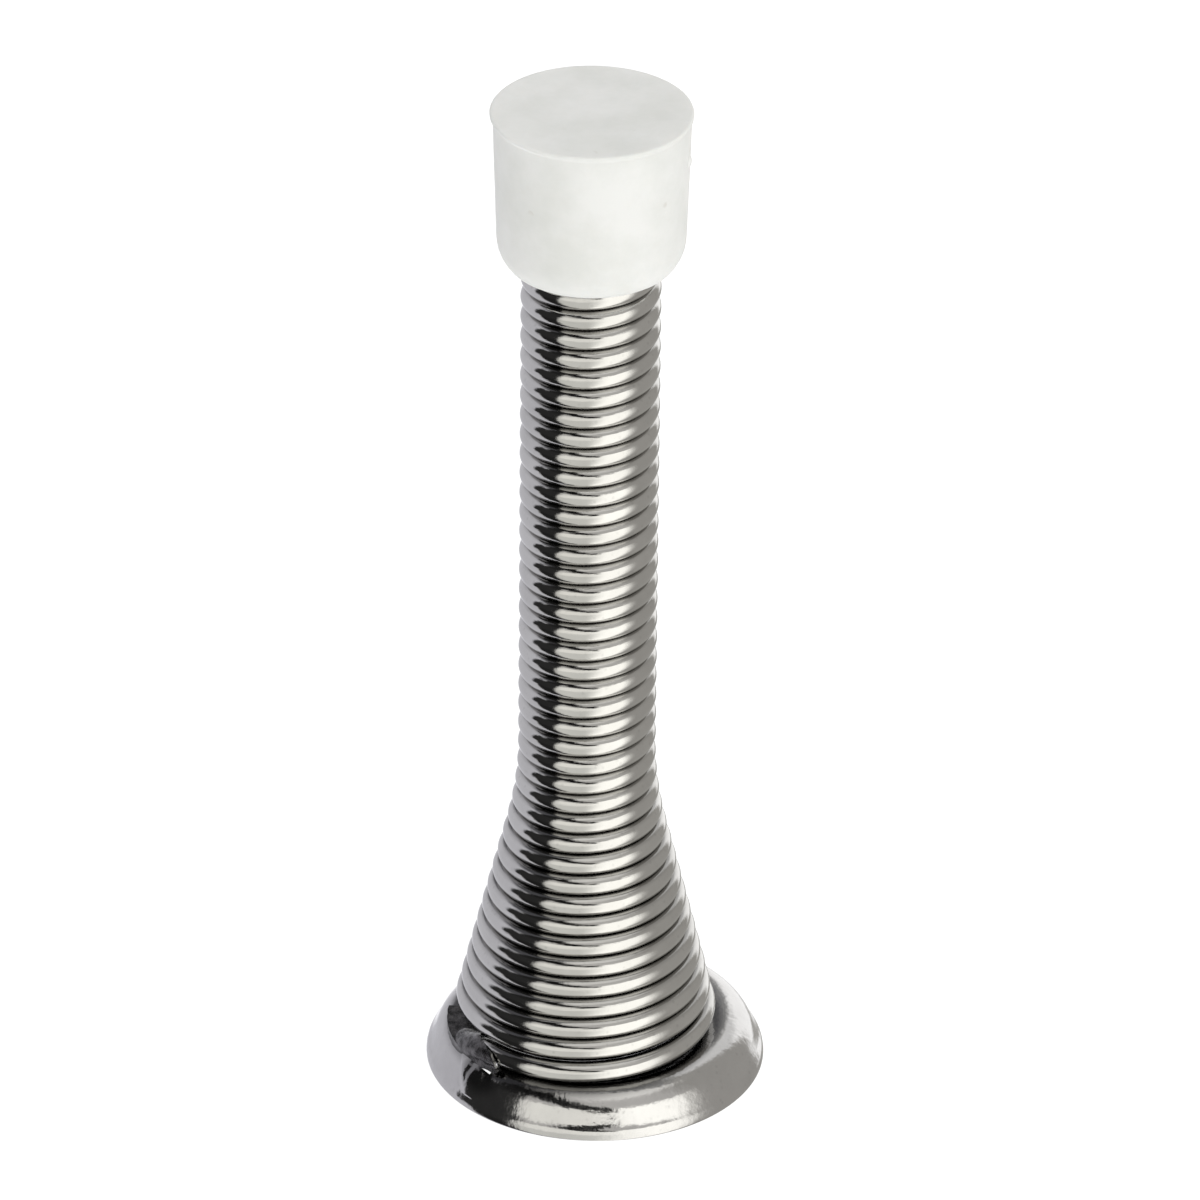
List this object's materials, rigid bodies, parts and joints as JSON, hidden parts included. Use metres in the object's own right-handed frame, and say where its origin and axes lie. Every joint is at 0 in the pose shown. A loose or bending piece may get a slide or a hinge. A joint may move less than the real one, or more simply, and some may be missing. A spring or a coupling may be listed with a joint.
{
  "type": "spring door stop",
  "caption": "Spring door stop: flared close-wound coil spring on a domed round base, with a push-on white rubber tip and a wood screw.",
  "frame": {"origin": "centre of the base's back face, which lies on the wall or floor", "axes": "+Z along the stop, from the wall towards the rubber tip; the hooked end of the wire is at -X"},
  "size_m": [0.025, 0.025, 0.0941],
  "materials": {
    "plated_steel": "bright plated, slightly grained",
    "screw_steel": "zinc plated",
    "spring_wire": "bright plated wire",
    "white_rubber": "matt moulded rubber"
  },
  "bodies": {
    "base": {"base_flange": "plated_steel", "fixing_screw": "screw_steel", "spring_foot": "spring_wire"},
    "coil_lower": {"spring_lower": "spring_wire"},
    "coil_middle": {"spring_middle": "spring_wire"},
    "coil_upper": {"spring_upper": "spring_wire"},
    "coil_crown": {"spring_crown": "spring_wire"},
    "tip": {"rubber_tip": "white_rubber"}
  },
  "joints": [
    {"name": "bend_front_back", "type": "hinge", "parent": "base", "child": "coil_lower", "pos_m": [-0.00081, -0.00083, 0.0099], "axis": [1, 0, 0], "range_deg": [-30, 30], "stiffness_Nm_per_rad": 0.1, "deforming": ["spring_foot", "spring_lower"]},
    {"name": "bend_left_right", "type": "hinge", "parent": "coil_lower", "child": "coil_middle", "pos_m": [-0.00081, -0.00083, 0.0253], "axis": [0, 1, 0], "range_deg": [-30, 30], "stiffness_Nm_per_rad": 0.1, "deforming": ["spring_middle"]},
    {"name": "bend_front_back_upper", "type": "hinge", "parent": "coil_middle", "child": "coil_upper", "pos_m": [-0.00081, -0.00083, 0.0397], "axis": [1, 0, 0], "range_deg": [-30, 30], "stiffness_Nm_per_rad": 0.1, "deforming": ["spring_upper"]},
    {"name": "bend_left_right_upper", "type": "hinge", "parent": "coil_upper", "child": "coil_crown", "pos_m": [-0.00081, -0.00083, 0.054], "axis": [0, 1, 0], "range_deg": [-30, 30], "stiffness_Nm_per_rad": 0.1, "deforming": ["spring_crown"]},
    {"name": "tip_pull", "type": "slide", "parent": "coil_crown", "child": "tip", "axis": [0, 0, 1], "range_m": [0, 0.012]}
  ],
  "couplings": [
    {"joint": "bend_front_back_upper", "follows": "bend_front_back", "ratio": 1},
    {"joint": "bend_left_right_upper", "follows": "bend_left_right", "ratio": 1}
  ]
}
